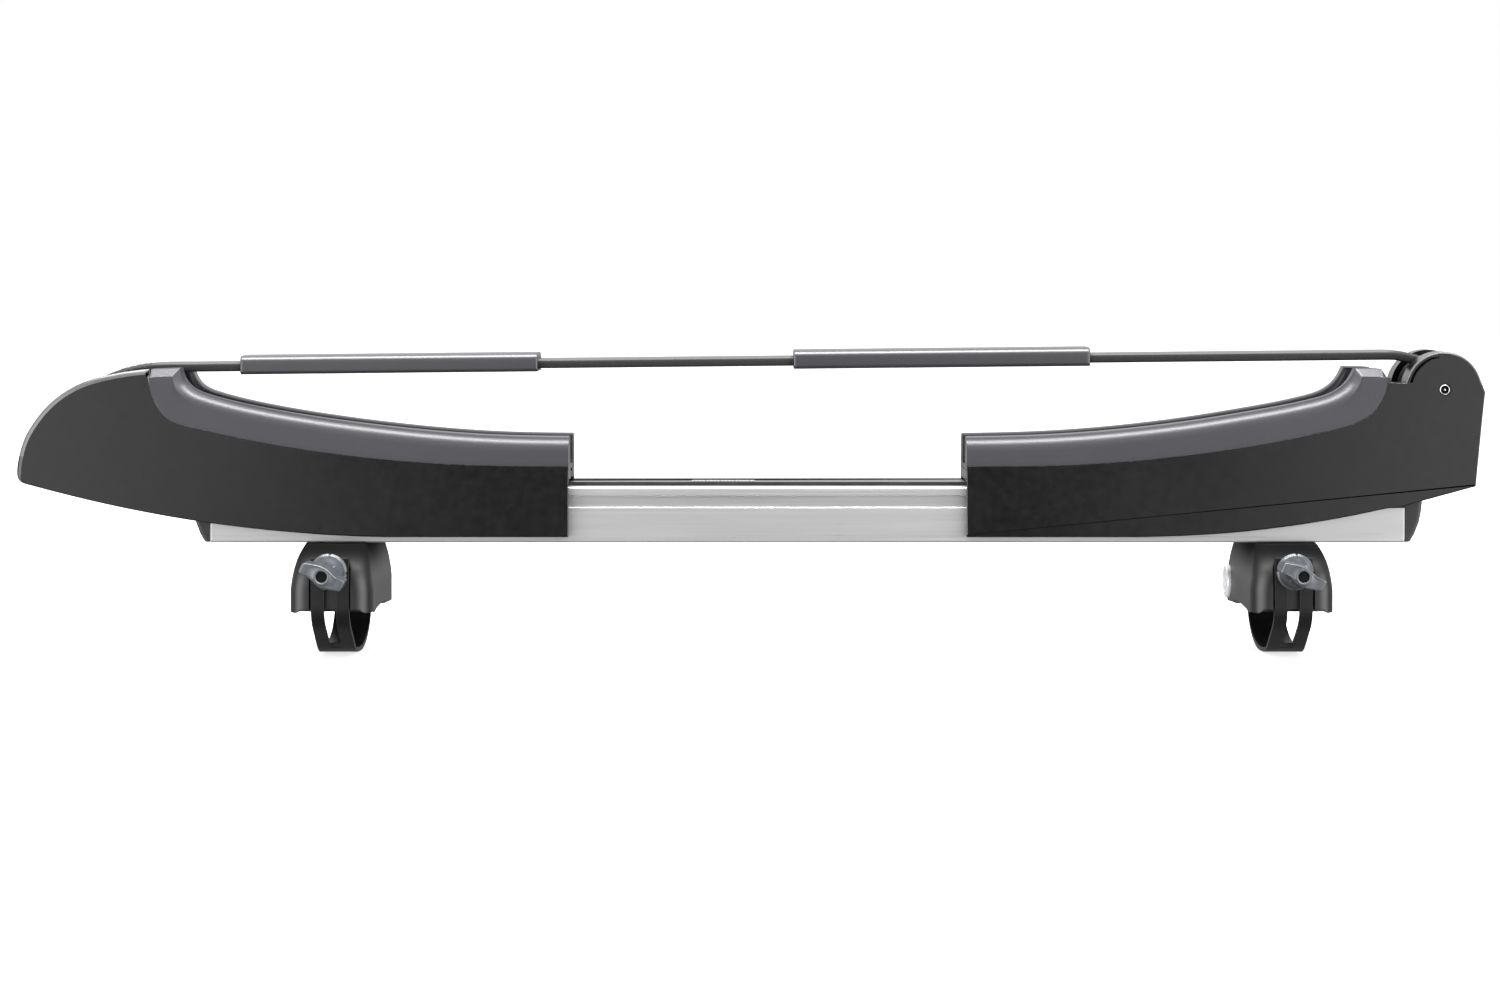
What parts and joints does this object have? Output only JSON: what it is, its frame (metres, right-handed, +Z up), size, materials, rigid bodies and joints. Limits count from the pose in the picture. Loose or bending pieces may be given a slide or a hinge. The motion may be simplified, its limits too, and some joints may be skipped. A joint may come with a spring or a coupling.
{
  "type": "roof board carrier",
  "caption": "Roof carrier with a cross rail on two bar clamps, a fixed and a sliding padded cradle, and a ratcheting tie-down strap over the load.",
  "frame": {"origin": "centre of the rail's underside", "axes": "+X along the rail towards the strap spool, +Y away from the clamp knobs, +Z up"},
  "size_m": [0.9999, 0.1571, 0.2102],
  "materials": {
    "anodised_aluminium": "satin anodised",
    "shell_plastic": "fine moulded grain",
    "core_plastic": "matt",
    "pad_foam": "soft satin",
    "strap_webbing": "woven",
    "sleeve_foam": "soft satin",
    "foot_plastic": "satin moulded",
    "band_rubber": "rubber coated steel band",
    "knob_plastic": "silver-blue satin",
    "zinc_steel": "zinc plated",
    "lock_chrome": "bright",
    "strip_rubber": "matt",
    "acetal": "smooth",
    "scale_film": "printed tick marks",
    "spring_steel": "oiled"
  },
  "bodies": {
    "rail_frame": {"rail": "anodised_aluminium", "rail_slot_strip": "strip_rubber", "width_scale_plate": "scale_film", "rail_end_cap_left": "shell_plastic", "rail_end_cap_right": "shell_plastic", "tie_down_strap": "strap_webbing", "right_front_cover": "shell_plastic", "right_rear_cover": "shell_plastic", "right_cover_screws": "zinc_steel", "right_core": "core_plastic", "right_core_bolts": "zinc_steel", "rail_slot_nuts": "zinc_steel", "right_pad": "pad_foam", "spool_axle": "zinc_steel", "spool_axle_nut": "zinc_steel", "retractor_spring": "spring_steel", "pawl_pin": "zinc_steel", "release_spring": "spring_steel", "foot_housing_left": "foot_plastic", "foot_housing_right": "foot_plastic", "foot_saddle_left": "strip_rubber", "foot_saddle_right": "strip_rubber", "band_pin_left": "zinc_steel", "band_pin_right": "zinc_steel", "clamp_stud_left": "zinc_steel", "clamp_stud_right": "zinc_steel", "foot_rail_bolts": "zinc_steel", "foot_rail_nuts": "zinc_steel", "foot_lock_bezel": "lock_chrome"},
    "left_cradle": {"left_front_cover": "shell_plastic", "left_rear_cover": "shell_plastic", "left_cover_screws": "zinc_steel", "left_core": "core_plastic", "glide_shoes": "acetal", "strap_anchor_pin": "zinc_steel", "left_pad": "pad_foam", "width_latch_spring": "spring_steel"},
    "latch_button": {"width_latch_button": "core_plastic"},
    "latch_pawl": {"width_latch_pawl": "acetal"},
    "sleeve_left": {"strap_sleeve_left": "sleeve_foam"},
    "sleeve_right": {"strap_sleeve_right": "sleeve_foam"},
    "spool": {"strap_spool": "core_plastic"},
    "release_button": {"release_button": "knob_plastic"},
    "pawl": {"ratchet_pawl": "zinc_steel"},
    "knob_left": {"clamp_knob_left": "knob_plastic", "knob_plug_left": "core_plastic"},
    "knob_right": {"clamp_knob_right": "knob_plastic", "knob_plug_right": "core_plastic"},
    "band_left": {"clamp_band_left": "band_rubber"},
    "band_right": {"clamp_band_right": "band_rubber"},
    "foot_lock": {"foot_lock_barrel": "lock_chrome"}
  },
  "joints": [
    {"name": "left_cradle_slide", "type": "slide", "parent": "rail_frame", "child": "left_cradle", "axis": [-1, 0, 0], "range_m": [-0.08, 0.08], "deforming": ["tie_down_strap"]},
    {"name": "width_latch_press", "type": "slide", "parent": "left_cradle", "child": "latch_button", "axis": [-1, 0, 0], "range_m": [0, 0.004], "stiffness_N_per_m": 400},
    {"name": "width_latch_lift", "type": "slide", "parent": "left_cradle", "child": "latch_pawl", "axis": [0, 0, 1], "range_m": [0, 0.0014], "deforming": ["width_latch_spring"]},
    {"name": "strap_spool_spin", "type": "hinge", "parent": "rail_frame", "child": "spool", "pos_m": [0.4335, 0, 0.1046], "axis": [0, 1, 0], "range_deg": [-300, 300], "deforming": ["retractor_spring"]},
    {"name": "release_button_press", "type": "slide", "parent": "rail_frame", "child": "release_button", "axis": [-1, 0, 0], "range_m": [0, 0.004], "stiffness_N_per_m": 400, "deforming": ["release_spring"]},
    {"name": "ratchet_pawl_swing", "type": "hinge", "parent": "rail_frame", "child": "pawl", "pos_m": [0.447, 0, 0.077], "axis": [0, -1, 0], "range_deg": [0, 12]},
    {"name": "clamp_knob_left_turn", "type": "hinge", "parent": "rail_frame", "child": "knob_left", "pos_m": [-0.321, -0.08, -0.016], "axis": [0, -1, 0], "continuous": true},
    {"name": "clamp_knob_right_turn", "type": "hinge", "parent": "rail_frame", "child": "knob_right", "pos_m": [0.326, -0.08, -0.016], "axis": [0, -1, 0], "continuous": true},
    {"name": "clamp_band_left_swing", "type": "hinge", "parent": "rail_frame", "child": "band_left", "pos_m": [-0.321, 0.052, -0.03], "axis": [1, 0, 0], "range_deg": [0, 75]},
    {"name": "clamp_band_right_swing", "type": "hinge", "parent": "rail_frame", "child": "band_right", "pos_m": [0.326, 0.052, -0.03], "axis": [1, 0, 0], "range_deg": [0, 75]},
    {"name": "foot_lock_turn", "type": "hinge", "parent": "rail_frame", "child": "foot_lock", "pos_m": [0.301, 0.043, -0.0335], "axis": [1, 0, 0], "range_deg": [0, 90]},
    {"name": "strap_sleeve_left_slide", "type": "slide", "parent": "left_cradle", "child": "sleeve_left", "axis": [0.9999, 0, 0.01], "range_m": [-0.03, 0.06]},
    {"name": "strap_sleeve_right_slide", "type": "slide", "parent": "rail_frame", "child": "sleeve_right", "axis": [0.9999, 0, 0.01], "range_m": [-0.06, 0.15]}
  ],
  "couplings": [
    {"joint": "width_latch_lift", "follows": "width_latch_press", "ratio": 0.34},
    {"joint": "strap_spool_spin", "follows": "left_cradle_slide", "rad_per_m": -63.898},
    {"joint": "ratchet_pawl_swing", "follows": "release_button_press", "rad_per_m": 52.36}
  ]
}
